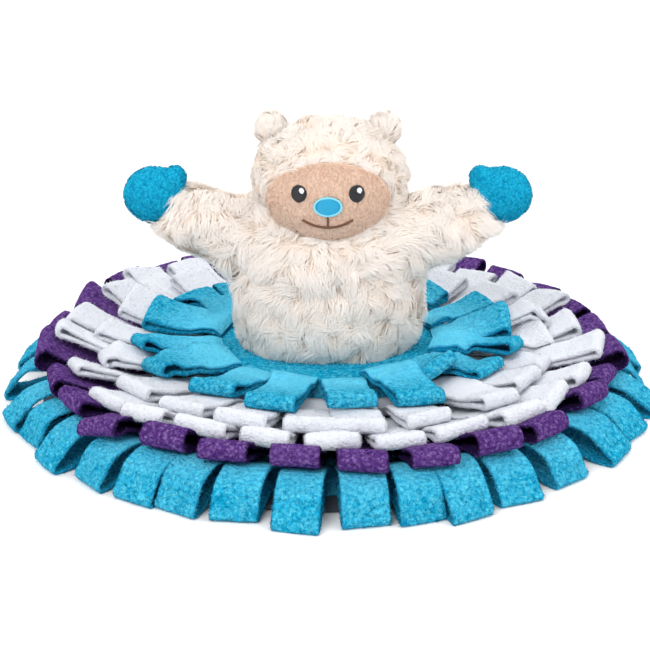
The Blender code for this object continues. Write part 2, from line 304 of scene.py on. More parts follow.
def fleece(slot, facts):
    # cut polar fleece: a curly nap that is strongest near a loop's fold, smooth and paler
    # further back, the paleness a painted highlight on the upper parts; the curls carry painted
    # highlights on their tops and painted shade in their hollows; darker along the cuts and on
    # the inner side, partly the fleece's own deeper back and partly painted shade in the fold
    finish = Finish(slot + "_nap", slot, {
        "Roughness": 0.95, "Specular IOR Level": 0.02, "Sheen Weight": facts["sheen"],
        "Sheen Roughness": 0.5, "Sheen Tint": (*facts["light"], 1.0),
    })
    tip = finish.attribute("tip")
    edge = finish.attribute("edge")
    inside = finish.attribute("inside")
    tone = finish.attribute("tone")
    curl = 0.55 - finish.cells(facts["curl"], 0.2)
    twist = finish.noise(2.1 * mm, 1.5, 1.3)
    fine = finish.noise(0.6 * mm, 2.0, 0.4)
    cloud = finish.noise(12 * mm, 2.0)
    nap = (1.3 * curl + 2.6 * (twist - 0.5)) * (0.35 + 0.65 * tip) + 0.7 * (fine - 0.5)
    # pale leans to the light colour away from the fold: a painted highlight on the upper parts of the
    # loops, with random clouds and each loop's tone on top
    pale = facts["level"] + 0.6 * (cloud - 0.5) + 0.25 * tone - 0.6 * tip
    colour = finish.mix(pale.clipped(), facts["deep"], facts["light"])
    # the curls' tops are mixed to the glint colour, a painted highlight, and their hollows to the valley
    # colour, painted shade
    colour = finish.mix((nap * facts["contrast"]).clipped(), colour, facts["glint"])
    colour = finish.mix((nap * -facts["contrast"]).clipped(), colour, facts["valleyShade"])
    # the dark colour along the cuts and on the inner side is partly the fleece's own deeper back and partly
    # painted shade in the fold's hollow
    colour = finish.mix((edge * facts["cut"] + inside * facts["inner"]).clipped(), colour, facts["dark"])
    finish.colour(colour, facts.get("through"))
    finish.bump(nap, facts["depth"], facts["strength"])
    return finish


fleeces = {
    "blue": {
        "light": (0.15, 0.67, 0.92), "deep": (0.0, 0.43, 0.71), "dark": (0.0, 0.26, 0.50),
        "glint": (0.13, 0.72, 0.95), "valleyShade": (0.0, 0.26, 0.51), "level": 0.84, "sheen": 0.0,
        "curl": 2.6 * mm, "contrast": 1.15, "depth": 1.6 * mm, "strength": 1.0, "inner": 0.35, "cut": 0.6,
    },
    "purple": {
        "light": (0.18, 0.085, 0.31), "deep": (0.095, 0.035, 0.20), "dark": (0.018, 0.007, 0.050),
        "glint": (0.27, 0.16, 0.42), "valleyShade": (0.035, 0.011, 0.090), "level": 0.66, "sheen": 0.05,
        "curl": 2.5 * mm, "contrast": 0.95, "depth": 1.2 * mm, "strength": 1.0, "inner": 0.8, "cut": 0.6,
    },
    "white": {
        "light": (0.785, 0.805, 0.855), "deep": (0.75, 0.77, 0.83), "dark": (0.70, 0.73, 0.80),
        "glint": (0.86, 0.875, 0.915), "valleyShade": (0.65, 0.68, 0.765), "level": 0.75, "sheen": 0.0,
        "curl": 2.2 * mm, "contrast": 0.4, "depth": 0.7 * mm, "strength": 0.7, "inner": 0.1, "cut": 0.0,
        "through": (0.13, (0.95, 0.96, 0.98)),
    },
}
blueFleece, purpleFleece, whiteFleece = (fleece(name + "_fleece", fleeces[name]) for name in fleeces)


def felt():
    # pressed slate felt: short crossed fibres and a few paler ones
    constants = {"Roughness": 0.95, "Specular IOR Level": 0.1, "Sheen Weight": 0.15}
    finish = Finish("slate_felt", "grey_felt", constants)
    fibre = finish.noise(0.5 * mm, 4.0)
    blotch = finish.noise(6 * mm, 3.0)
    share = (fibre * 0.9 + blotch * 0.4 - 0.25).clipped()
    finish.colour(finish.mix(share, (0.030, 0.037, 0.050), (0.105, 0.125, 0.155)))
    finish.bump(fibre + 0.4 * blotch, 0.4 * mm, 0.7)
    return finish


def thread(name, slot, deep, light):
    # embroidery thread: smooth and a little glossy, twisted ply showing as a fine change of tone
    finish = Finish(name, slot, {"Roughness": 0.42, "Specular IOR Level": 0.45, "Sheen Weight": 0.1})
    ply = finish.noise(0.35 * mm, 2.0)
    finish.colour(finish.mix(ply, deep, light))
    finish.bump(ply, 0.08 * mm, 0.6)
    return finish


def shortPile(name, slot, facts):
    # short brushed plush: fibres lie one way in patches, so the tone shifts softly
    finish = Finish(name, slot, {"Roughness": 0.9, "Specular IOR Level": 0.06})
    fibre = 1.2 * finish.noise(0.7 * mm, 2.0) + (0.5 - finish.cells(facts["knot"], 0.3)) * facts["knots"]
    patch = finish.noise(7 * mm, 2.0)
    height = finish.attribute("height")
    # height is low at the roots of the pile fibres and on the patch or mitt under them, which take the deep
    # colour: painted shade low in the pile
    share = (0.6 * fibre + 0.5 * patch + 0.5 * height - 0.4).clipped()
    finish.colour(finish.mix(share, facts["deep"], facts["light"]))
    finish.bump(fibre, 0.35 * mm, 0.6)
    return finish


def furFinish():
    # long cream fur: peach near the skin, cream white at the tips, the peach painted shade deep in the fur;
    # tufts that differ a little
    finish = Finish("cream_locks", "cream_fur", {
        "Roughness": 0.7, "Specular IOR Level": 0.2, "Sheen Weight": 0.2, "Sheen Roughness": 0.5,
    })
    height = finish.attribute("height")
    tone = finish.attribute("tone")
    blush = finish.noise(16 * mm, 2.0)
    # height is low near the skin, on the coat and ears under the fibres, and these take the warm peach:
    # painted shade deep in the fur; blush and tone vary at random
    share = (height * 1.2 + 0.5 - 0.9 * blush + 0.35 * tone).clipped()
    warm = finish.mix(tone, (0.97, 0.80, 0.66), (0.975, 0.87, 0.76))
    finish.colour(finish.mix(share, warm, (0.962, 0.927, 0.888)), (0.36, (0.962, 0.895, 0.84)))
    return finish


slateFelt = felt()
creamFur = furFinish()
tanPile = shortPile("tan_short_pile", "tan_plush", {
    "deep": (0.62, 0.40, 0.29), "light": (0.84, 0.63, 0.50), "knot": 1.5 * mm, "knots": 0.4,
})
bluePile = shortPile("blue_short_pile", "blue_plush", {
    "deep": (0.0, 0.20, 0.38), "light": (0.02, 0.54, 0.77), "knot": 1.7 * mm, "knots": 1.3,
})
print("finishes made")


class Pile:
    # the height of everything laid so far, on a square grid seen from above
    cell = 1.0 * mm
    half = 0.225               # metres from the middle to the grid's edge

    def __init__(self):
        self.size = int(2 * self.half / self.cell)
        self.top = np.zeros((self.size, self.size))

    def index(self, x, y):
        ix = np.clip(((x + self.half) / self.cell).astype(int), 0, self.size - 1)
        iy = np.clip(((y + self.half) / self.cell).astype(int), 0, self.size - 1)
        return ix, iy

    def read(self, x, y):
        return self.top[self.index(x, y)]

    def lay(self, x, y, z):
        ix, iy = self.index(x, y)
        np.maximum.at(self.top, (ix.ravel(), iy.ravel()), z.ravel())


pile = Pile()
base = {
    "radius": 179 * mm, "rim": 3.0 * mm, "crown": 29 * mm, "flat": 69 * mm, "power": 2.0,
    "below": 0.5 * mm, "round": 1.1 * mm, "spokes": 160,
}


def baseTop(radius):
    rise = np.clip((base["radius"] - radius) / (base["radius"] - base["flat"]), 0, 1)
    return base["rim"] + (base["crown"] - base["rim"]) * rise ** base["power"]


def makeBase():
    # the filled felt pad: flat underneath, domed on top, its rim rounded
    radii = list(np.linspace(0.001, base["radius"] - base["round"], 26))
    heights = [baseTop(r) for r in radii]
    middle = (heights[-1] + base["below"]) / 2
    half = (heights[-1] - base["below"]) / 2
    for angle in np.linspace(60, -60, 5):
        turn = math.radians(angle)
        radii.append(base["radius"] - base["round"] * (1 - math.cos(turn)))
        heights.append(middle + half * math.sin(turn))
    under = np.linspace(base["radius"] - base["round"], 0.001, 8)
    radii += list(under)
    heights += [base["below"]] * len(under)
    radii = np.array(radii)[:, None]
    heights = np.array(heights)[:, None]
    points = ringPoints(radii, turns(base["spokes"]), heights).reshape(-1, 3)
    points[:, 2] += 0.18 * mm * softNoise(points, 4 * mm, 3) * (points[:, 2] > 1 * mm)
    faces = solidFaces(len(radii), base["spokes"])
    piece = addMesh("felt_pad", points, faces, slateFelt)
    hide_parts("base_pad")
    spread = np.linspace(-0.2, 0.2, 401)       # a millimetre apart
    x, y = np.meshgrid(spread, spread)
    r = np.hypot(x, y)
    inside = r < base["radius"]
    pile.lay(x[inside], y[inside], baseTop(r[inside]))


makeBase()
print("felt pad made")

cloth = {
    "thick": 1.7 * mm, "width": 24 * mm, "gap": 0.2 * mm,
    "outer": 14, "inner": 6,     # points across a strip on its outer and inner side
    "station": 1.35 * mm,        # and how far apart they are along it
    "round": 0.2,        # how far an edge is rounded off, as a share of the thickness
    "shoulder": 1.3 * mm, "edge": 0.95 * mm,   # how far in the rounding and the darker cut reach
    "curl": 0.65 * mm, "curlSize": 2.8 * mm, "lump": 0.35 * mm,
    "pressed": 0.6,      # how thin the cloth is where other loops lie on it
    "strip": 118 * mm,   # the length of strip in one loop of the outer ring
}


def section(thick, rounded):
    # the cut across a strip: its points along the width and through the thickness, and which
    # of them face sideways
    half = cloth["width"] / 2
    turned = rounded * thick
    thick = thick / 2
    near = half - cloth["shoulder"]
    far = half - turned
    upper = np.concatenate([[-far], np.linspace(-near, near, cloth["outer"]), [far]])
    lower = np.linspace(far, -far, cloth["inner"])
    across = np.concatenate([upper, [half], lower, [-half]])
    through = np.concatenate([np.full(len(upper), thick), [0], np.full(len(lower), -thick), [0]])
    side = np.concatenate([np.zeros(len(upper)), [1], np.zeros(len(lower)), [-1]])
    return across, through, side


def loopMesh(batch, path, place, look):
    # sweeps the section along a side view. path holds the radius, height, sideways lean, nearness
    # to the tip and pressing of each station, from the root along the upper layer and back below
    radius, height, lean, tip, press = path
    across, through, side = section(look["thick"], look.get("round", cloth["round"]))
    through = through[None, :] * press[:, None]
    step = np.gradient(np.stack([radius, height], -1), axis=0)
    step /= np.linalg.norm(step, axis=1, keepdims=True)
    outR = -step[:, 1:2]
    outZ = step[:, 0:1]
    share = np.clip((radius[:, None] - look["seam"]) / (look["tip"] - look["seam"]), 0, 1.1)
    bow = look["bow"] * share**2 * (1 - (2 * across / cloth["width"]) ** 2)[None, :]
    upper = np.clip(outZ, 0, 1)
    local = pointsAt(
        radius[:, None] + outR * (through + bow) + look["skew"] * across[None, :] * share**2,
        across[None, :] * (look["wide"] + look["flare"] * share),
        height[:, None] + outZ * through + upper * bow + lean[:, None] * across[None, :],
    )
    away = pointsAt(outR * np.sign(through), side[None, :], outZ * np.sign(through))
    points = place(local).reshape(-1, 3)
    away = place(away, True).reshape(-1, 3)
    tips = np.broadcast_to(tip[:, None], local.shape[:2]).ravel()
    outside = (through > 0).ravel()
    bump = curls(points, cloth["curlSize"], look["seed"]) * (0.35 + 0.65 * tips) - 0.3
    bump = cloth["curl"] * bump * np.where(outside, 1.0, 0.6)
    bump += cloth["lump"] * softNoise(points, 8 * mm, look["seed"] + 5) * np.where(outside, 1.0, 0.5)
    points = points + away * bump[:, None]
    points[:, 2] = np.maximum(points[:, 2], 0.15 * mm)
    nearEdge = np.clip(1 - (cloth["width"] / 2 - np.abs(across)) / cloth["edge"], 0, 1)
    edge = np.broadcast_to(nearEdge[None, :], local.shape[:2]).ravel()
    inner = ((through < 0) + 0.5 * np.abs(side)[None, :]).ravel()
    faces = solidFaces(*local.shape[:2])
    batch.add(points, faces, tip=tips, edge=edge, inside=inner, tone=look["tone"])


def turner(azimuth, seam, yaw):
    # sets local points (out, across, up) round the mat, turned a little at the seam
    ca, sa = math.cos(azimuth), math.sin(azimuth)
    cy, sy = math.cos(yaw), math.sin(yaw)

    def place(local, direction=False):
        shift = 0 if direction else seam
        x = (local[..., 0] - shift) * cy - local[..., 1] * sy + shift
        y = (local[..., 0] - shift) * sy + local[..., 1] * cy
        return np.stack([x * ca - y * sa, x * sa + y * ca, local[..., 2]], -1)

    return place


def lengthsAlong(x, y):
    # the length of a line up to each of its points
    return np.concatenate([[0], np.cumsum(np.hypot(np.diff(x), np.diff(y)))])


def smooth(values, width):
    kernel = np.hanning(width + 2)[1:-1]
    kernel /= kernel.sum()
    padded = np.pad(values, width // 2, mode="edge")
    return np.convolve(padded, kernel, mode="valid")[: len(values)]


def fineRadii(seam, visible, end):
    # few stations where other rings cover a loop, and many where it shows
    hidden = np.linspace(seam, visible, 6)[:-1]
    shown = np.arange(visible, end, cloth["station"])
    return np.concatenate([hidden, shown])


def restOn(seam, end, place, lift, stretched, wide):
    # where a layer comes to rest: its heights and sideways lean along its length
    count = 48
    reach = np.linspace(seam, end, count)
    across = np.linspace(-1, 1, 13) * cloth["width"] * wide / 2
    spots = place(pointsAt(reach[:, None], across[None, :], 0.0))
    under = pile.read(spots[..., 0], spots[..., 1])
    lean = (under[:, -4:].max(1) - under[:, :4].max(1)) / cloth["width"]
    lean = smooth(np.clip(lean, -0.28, 0.28), 9)
    height = (under - lean[:, None] * across[None, :]).max(1)
    corners = [0]
    while corners[-1] < count - 1:             # the cloth is stiff enough to bridge hollows
        here = corners[-1]
        slopes = (height[here + 1:] - height[here]) / np.arange(1, count - here)
        corners.append(here + 1 + int(np.argmax(slopes)))
    taut = np.interp(np.arange(count), corners, height[corners])
    settled = smooth(stretched * taut + (1 - stretched) * height, 9)
    share = np.linspace(0, 1, count)
    return reach, settled + cloth["gap"] + lift * share**3, lean * np.clip(0.5 + 2 * share, 0, 1)


def layTop(place, radius, height, lean, look):
    # tells the pile how high the new upper layer is, at places closer together than its cells;
    # felt and cover are the shares of a loop's width and thickness that later loops lie on
    reach = np.linspace(radius[0], radius[-1], 190)
    z = np.interp(reach, radius, height)
    tilt = np.interp(reach, radius, lean)
    across = np.linspace(-look["felt"], look["felt"], 41) * cloth["width"]
    share = np.clip((reach - look["seam"]) / (look["tip"] - look["seam"]), 0, 1.1)
    spots = place(pointsAt(
        reach[:, None] + look["skew"] * across[None, :] * share[:, None] ** 2,
        across[None, :] * (look["wide"] + look["flare"] * share[:, None]),
        z[:, None] + tilt[:, None] * across[None, :] + look["thick"] * look["cover"] / 2,
    ))
    pile.lay(spots[..., 0], spots[..., 1], spots[..., 2])


outer = {
    # where each loop lies, in degrees, from the front of the mat round to the right and on
    "azimuths": (
        -84, -74, -66, -57, -47, -34, -22, -11, 0, 10.5, 20.8, 31, 41.3, 51.5, 61.8, 72, 82.3,
        92.5, 102.8, 113, 123.3, 133.5, 143.8, 154, 167, 182, 196, 207, 216, 228, 238, 246.5, 255.5, 266,
    ),
    "root": 138 * mm, "tip": 201 * mm, "fold": 7.5 * mm, "band": (128 * mm, 165 * mm),
    "hidden": (138 * mm, 156 * mm),   # from here to here the next ring covers the loops
    # the side view of a loop, as radii and heights in millimetres: under the fold, and over it
    "back": ((192, 1.7), (186, 3.6), (178, 5.9), (168, 8.2), (160, 9.6)),
    "crest": ((150, 14.6), (159, 18.0), (167, 21.0), (175, 21.8), (183, 20.2), (190, 16.4)),
}


def layBand(batch, inner, far, tones):
    # the uncut part of a strip, sewn down flat round the pad
    rows = 16
    low = np.linspace(inner, far, rows)
    radii = np.concatenate([low, low[::-1]])[:, None]
    under = baseTop(low) + 0.35 * mm
    heights = np.concatenate([under + cloth["thick"], under[::-1]])[:, None]
    points = ringPoints(radii, turns(180), heights)
    faces = [face[::-1] for face in gridFaces(2 * rows, 180, closed=True)]
    batch.add(points.reshape(-1, 3), faces, **tones)
    spread = points[:rows].reshape(-1, 3)
    pile.lay(spread[:, 0], spread[:, 1], spread[:, 2])


def outerLoop(batch, number, degrees, draw):
    # one loop of the outer ring: up from the band, over its crest, round the fold and back
    root = outer["root"]
    thick = cloth["thick"]
    tip = outer["tip"] + draw.uniform(-4, 3.5) * mm
    fold = outer["fold"] * draw.uniform(0.85, 1.15)
    flat = math.cos(math.radians(degrees - 20))        # the loops to the right lie flatter
    rise = draw.uniform(0.95, 1.06) - 0.16 * max(flat, 0)
    look = {
        "seam": root, "tip": tip, "bow": draw.uniform(0.0, 0.8) * mm, "skew": draw.uniform(-0.2, 0.2),
        "flare": draw.uniform(0.06, 0.14), "tone": draw.uniform(-0.35, 0.35), "seed": 100 + number,
        "thick": thick, "wide": 1.0, "felt": 0.5, "cover": 1.0,
    }
    place = turner(math.radians(degrees), root, math.radians(draw.uniform(-5, 5)))
    start = baseTop(root) + 0.7 * mm + 1.5 * thick
    crest = [(r * mm, start + (z * mm - start) * rise) for r, z in outer["crest"]]
    half = (fold - thick) / 2
    lean = draw.uniform(-0.10, 0.10)
    bend = []
    for angle in (75, 50, 25, 0, -30, -60):
        a = math.radians(angle)
        bend.append((tip - half * (1 - math.cos(a)), fold / 2 + half * math.sin(a)))
    back = [(r * mm, z * mm) for r, z in outer["back"]]
    radius, height = throughPoints(np.array([(root, start)] + crest + bend + back))
    weight = np.clip((radius - 150 * mm) / (35 * mm), 0, 1)
    tips = np.clip((lengthsAlong(radius, height) - 30 * mm) / (32 * mm), 0, 1)
    leans = lean * weight * np.clip(height / (12 * mm), 0.2, 1)
    loopMesh(batch, (radius, height, leans, tips, np.ones(len(radius))), place, look)
    top = np.argmax(radius)
    layTop(place, radius[:top], height[:top], leans[:top], look)


def makeOuter():
    draw = random.Random(21)
    batch = Batch()
    # the sewn band is mixed well towards the dark colour: painted shade where it shows between the loops
    layBand(batch, *outer["band"], {"tip": 0.2, "edge": 0.3, "inside": 0.8, "tone": 0.3})
    for number, degrees in enumerate(outer["azimuths"]):
        outerLoop(batch, number, degrees, draw)
    piece = batch.build("outer_ring", blueFleece)
    count = len(outer["azimuths"])
    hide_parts("outer_band", *[f"outer_loop_{n + 1:02d}" for n in range(count)])


def throughPoints(outline):
    # a smooth line through a loop's own points, with its stations; they are four times as far
    # apart where the next ring hides the loop, and well back under the fold
    points = np.vstack([2 * outline[0] - outline[1], outline, 2 * outline[-1] - outline[-2]])
    line = []
    for n in range(1, len(points) - 2):
        p0, p1, p2, p3 = points[n - 1:n + 3]
        for t in np.linspace(0, 1, 14, endpoint=False):
            line.append(0.5 * (2 * p1 + (p2 - p0) * t + (2 * p0 - 5 * p1 + 4 * p2 - p3) * t**2
                               + (3 * p1 - p0 - 3 * p2 + p3) * t**3))
    line.append(outline[-1])
    line = np.array(line)
    along = lengthsAlong(*line.T)
    low, high = outer["hidden"]
    ticks = [0.0]
    tipAt = along[np.argmax(line[:, 0])]
    while ticks[-1] < along[-1]:
        here = np.interp(ticks[-1], along, line[:, 0])
        covered = low <= here <= high or ticks[-1] > tipAt + 14 * mm
        ticks.append(ticks[-1] + cloth["station"] * (4 if covered else 1))
    ticks = np.array(ticks[:-1] + [along[-1]])
    return np.interp(ticks, along, line[:, 0]), np.interp(ticks, along, line[:, 1])


makeOuter()
print("outer ring made")

disc = {
    "radius": 67.5 * mm, "thick": 2.6 * mm, "spokes": 130, "rows": 34,
    "meet": 70 * mm, "top": 33 * mm,   # a ring sewn inside this radius starts at this height
}
rings = (
    # seam, shown and tip are radii: where a loop is sewn down, comes to sight and ends. Its gap
    # grows from shut at the root to open at the fold, with the power close, and its width by the
    # share flare. lift is how far the fold stands off what it lies on, and taut is how much of
    # the hollows below a loop bridges. azimuths are degrees, counted as in the outer ring
    {
        "name": "purple_ring", "node": "ring_purple", "finish": purpleFleece,
        "seam": 111 * mm, "shown": 148 * mm, "tip": 182 * mm,
        "thick": 2.0 * mm, "wide": 1.0, "felt": 0.42, "taut": 0.7, "flare": 0.14, "lift": 2.0 * mm,
        "shut": 0.2 * mm, "open": 8.0 * mm, "close": 3.2, "round": 0.2, "seed": 300,
        "azimuths": (
            120, 130, 141, 157, 169, 185, 200, 212, 225, 239, 251, 264, 276, 289, 301.5, 314, 331, 343,
            355, 370, 381, 394, 405, 417.5, 430, 442.5, 455, 467.5,
        ),
    },
    {
        "name": "outer_white_ring", "node": "ring_white_outer", "finish": whiteFleece,
        "seam": 103 * mm, "shown": 130 * mm, "tip": 166.5 * mm,
        "thick": 2.9 * mm, "wide": 1.0, "felt": 0.42, "taut": 0.7, "flare": 0.26, "lift": 0.0 * mm,
        "shut": 0.05 * mm, "open": 3.4 * mm, "close": 5.5, "round": 0.42, "seed": 400,
        "azimuths": (
            139, 149, 167, 182, 198, 217, 231, 244, 257.5, 271, 284.5, 298, 312, 324, 337, 354, 371, 386,
            397, 409.8, 422.5, 435.3, 448, 460.8, 473.5, 486.3,
        ),
    },
    {
        "name": "inner_white_ring", "node": "ring_white_inner", "finish": whiteFleece,
        "seam": 84 * mm, "shown": 104 * mm, "tip": 142 * mm,
        "thick": 2.9 * mm, "wide": 1.05, "felt": 0.42, "taut": 0.7, "flare": 0.24, "lift": 0.5 * mm,
        "shut": 0.05 * mm, "open": 3.0 * mm, "close": 5.5, "round": 0.42, "seed": 500,
        "azimuths": (
            151, 159, 176, 193, 215, 234, 250, 266, 277, 294, 314, 329, 344, 366, 376, 395, 414.3, 433.6,
            453, 472.3, 491.6,
        ),
    },
    {
        "name": "inner_blue_ring", "node": "ring_blue_inner", "finish": blueFleece,
        "seam": 66 * mm, "shown": 67 * mm, "tip": 119 * mm,
        "thick": 2.0 * mm, "wide": 1.1, "felt": 0.5, "taut": 0.9, "flare": 0.14, "lift": 1.0 * mm,
        "shut": 0.2 * mm, "open": 4.4 * mm, "close": 3.2, "round": 0.2, "seed": 600,
        "azimuths": (
            126, 145, 165, 190, 207, 234, 254, 277, 297, 313, 329, 348, 365, 385, 412, 433, 454, 470,
        ),
        "band": (68.5 * mm, 83 * mm),
        "short": {313: 18, 145: 8, 126: 6},   # loops that end this many millimetres early
    },
)


def ringLoop(ring, number, draw, batch):
    # one loop, laid on everything below it; gives the length of strip in it
    seam, thick = ring["seam"], ring["thick"]
    degrees = ring["azimuths"][number]
    early = ring.get("short", {}).get(degrees, 0)
    tip = ring["tip"] + (draw.uniform(-6, 4) - early) * mm
    opening = ring["open"] * draw.uniform(0.65, 1.35)
    look = {
        "seam": seam, "tip": tip, "bow": draw.uniform(0.1, 1.2) * mm, "skew": draw.uniform(-0.22, 0.22),
        "flare": ring["flare"] * draw.uniform(0.75, 1.25), "tone": draw.uniform(-0.35, 0.35),
        "seed": ring["seed"] + number, "thick": thick, "wide": ring["wide"], "felt": ring["felt"],
        "cover": 0.7, "round": ring["round"],
    }
    yaw = draw.uniform(-6, 6)
    turned = math.degrees(math.radians(yaw) * (ring["tip"] - seam) / ring["tip"])
    place = turner(math.radians(degrees - turned), seam, math.radians(yaw))
    half = (opening + thick) / 2
    end = tip - half
    lift = ring["lift"] * draw.uniform(0.4, 1.3)
    reach, under, lean = restOn(seam, end, place, lift, ring["taut"], ring["wide"])
    share = (reach - seam) / (end - seam)
    free = np.clip((reach - ring["shown"]) / (12 * mm) + 0.5, 0, 1)
    press = cloth["pressed"] + (1 - cloth["pressed"]) * free
    gap = ring["shut"] + (opening - ring["shut"]) * share ** ring["close"]
    outward = fineRadii(seam, ring["shown"], end)
    upper = np.interp(outward, reach, under + gap + 1.5 * thick * press)
    if seam < disc["meet"]:
        upper = np.maximum(upper, disc["top"])
    droop = draw.uniform(0.0, 0.35)
    angles = np.radians(np.linspace(84, -84, 11))
    middle = under[-1] + thick + gap[-1] / 2
    bendR = end + half * np.cos(angles) * (1 - 0.5 * droop * np.sin(angles))
    bendZ = middle + half * np.sin(angles)
    backR = np.linspace(end, seam, 13)
    backZ = np.interp(backR, reach, under + thick / 2 * press)
    radius = np.concatenate([outward, bendR, backR])
    height = np.concatenate([upper, bendZ, backZ])
    leans = np.interp(radius, reach, lean)
    tips = np.ones(len(radius))
    tips[:len(outward)] = np.clip((outward - (tip - 34 * mm)) / (30 * mm), 0, 1)
    loopMesh(batch, (radius, height, leans, tips, np.interp(radius, reach, press)), place, look)
    layTop(place, outward, upper, leans[:len(outward)], look)
    return lengthsAlong(radius, height)[-1]


def makeRing(ring):
    draw = random.Random(ring["seed"])
    batch = Batch()
    if "band" in ring:
        # the inner band takes a deep tone and some of the dark colour: painted shade under and between the
        # inner loops
        layBand(batch, *ring["band"], {"tip": 0.5, "edge": 0.0, "inside": 0.4, "tone": -0.5})
    order = list(range(len(ring["azimuths"])))
    draw.shuffle(order)
    length = sum(ringLoop(ring, number, draw, batch) for number in order)
    low, far = ring.get("band", (0, 0))
    length += math.pi * (far**2 - low**2) / cloth["width"]   # the uncut band, as more of the strip
    piece = batch.build(ring["name"], ring["finish"])
    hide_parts(ring["node"])
    print(ring["name"], "made, top", round(float(np.concatenate(batch.points)[:, 2].max()) / mm, 1), "mm")


for ring in rings:
    makeRing(ring)


def makeDisc():
    # the disc lies on the pad and, at its edge, over the sewn roots of the innermost loops
    turn = turns(disc["spokes"])
    radii = np.linspace(1 * mm, disc["radius"], disc["rows"])[:, None]
    wave = 1 + 0.012 * np.sin(3 * turn + 1) + 0.008 * np.sin(7 * turn)
    low = baseTop(0.0) + 0.4 * mm
    high = low + disc["thick"]
    top = ringPoints(radii * wave, turn, high)
    edge = ringPoints(radii[-1:] * wave * (1 + 0.9 * mm / disc["radius"]), turn, high - disc["thick"] / 2)
    bottom = ringPoints(radii[::-1] * wave, turn, low)
    points = np.concatenate([top, edge, bottom]).reshape(-1, 3)
    curl = cloth["curl"] * (curls(points, cloth["curlSize"], 77) - 0.3)
    curl = curl + cloth["lump"] * softNoise(points, 9 * mm, 78)
    rows = 2 * disc["rows"] + 1
    isTop = np.repeat(np.arange(rows) <= disc["rows"], disc["spokes"])
    points[:, 2] += curl * isTop
    faces = solidFaces(rows, disc["spokes"])
    # the lowest tone gives the disc the deepest blue: painted shade round the figure that sits on it
    tones = {"tip": np.full(len(points), 0.75), "edge": np.zeros(len(points)),
             "inside": np.where(isTop, 0.0, 1.0), "tone": np.full(len(points), -1.0)}
    piece = addMesh("fleece_disc", points, faces, blueFleece, tones)
    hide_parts("centre_disc")
    pile.lay(points[:, 0], points[:, 1], points[:, 2])


makeDisc()
print("disc made")

head = (0, 0, 138, 51, 43, 40)
figure = {
    # balls in millimetres: middle across, back and up, then half sizes the same ways; an arm
    # runs from the shoulder's ball to the wrist's, each a middle and a radius
    "balls": (
        (0, 0, 52, 63, 49, 44), (0, 0, 86, 60, 46, 42), head, (0, 3, 111, 57, 41, 33),
        (0, 0, 70, 62, 48, 38),
    ),
    "shoulder": (40, 1, 97, 30), "wrist": (93, -1, 118, 21), "armBalls": 9,
    "paw": (105, -2, 128, 20, 15, 18), "thumb": (92.5, -3, 139, 8, 8, 8.5),
    "ear": (34, 2, 168, 12, 7, 12),
    "voxel": 3.0 * mm, "shrink": 5.5 * mm, "seat": 31.5 * mm,
}
face = {"height": 133, "across": 37, "up": 24, "proud": -0.3, "chin": 12, "cloth": 1.6}   # in millimetres


def roundForm(name, balls, voxel, grow, soften):
    # balls, each made larger by grow, joined under one skin
    bpy.ops.object.select_all(action="DESELECT")
    parts = Batch()
    rows, spokes = 18, 28
    tilt = np.linspace(-math.pi / 2 + 0.08, math.pi / 2 - 0.08, rows)[:, None]
    turn = turns(spokes)
    for x, y, z, rx, ry, rz in balls:
        ball = pointsAt(
            x * mm + (rx * mm + grow) * np.cos(tilt) * np.cos(turn),
            y * mm + (ry * mm + grow) * np.cos(tilt) * np.sin(turn),
            z * mm + (rz * mm + grow) * np.sin(tilt),
        )
        parts.add(ball.reshape(-1, 3), [face[::-1] for face in solidFaces(rows, spokes)])
    mesh = bpy.data.meshes.new(name)
    mesh.from_pydata(np.concatenate(parts.points), [], parts.faces)
    form = bpy.data.objects.new(name, mesh)
    bpy.context.scene.collection.objects.link(form)
    skin = form.modifiers.new("skin", "REMESH")
    skin.mode = "VOXEL"
    skin.voxel_size = voxel
    soft = form.modifiers.new("soft", "SMOOTH")
    soft.iterations = soften
    made = bpy.data.meshes.new_from_object(form.evaluated_get(bpy.context.evaluated_depsgraph_get()))
    bpy.data.objects.remove(form)
    bpy.data.meshes.remove(mesh)
    points = np.zeros(len(made.vertices) * 3)
    made.vertices.foreach_get("co", points)
    faces = [list(p.vertices) for p in made.polygons]
    bpy.data.meshes.remove(made)
    return points.reshape(-1, 3), faces


def armBalls(side):
    start, end = figure["shoulder"], figure["wrist"]
    for share in np.linspace(0, 1, figure["armBalls"]):
        x, y, z, r = (a + (b - a) * share for a, b in zip(start, end))
        yield (x * side, y, z, r, r, r)


def facePoint(x, z, proud=0.0):
    # the front of the head at a place across and up, in millimetres
    hx, hy, hz, rx, ry, rz = head
    grow = face["proud"] + proud
    tall = rz + grow + np.where(z < hz, face["chin"], 0)
    share = 1 - ((x - hx) / (rx + grow)) ** 2 - ((z - hz) / tall) ** 2
    return hy - (ry + grow) * np.sqrt(np.maximum(share, 0.01))


def normalsOf(points, faces):
    # outward direction at each point
    mesh = bpy.data.meshes.new("scratch")
    mesh.from_pydata(points, [], faces)
    normals = np.zeros(len(points) * 3)
    mesh.vertex_normals.foreach_get("vector", normals)
    bpy.data.meshes.remove(mesh)
    return normals.reshape(-1, 3)


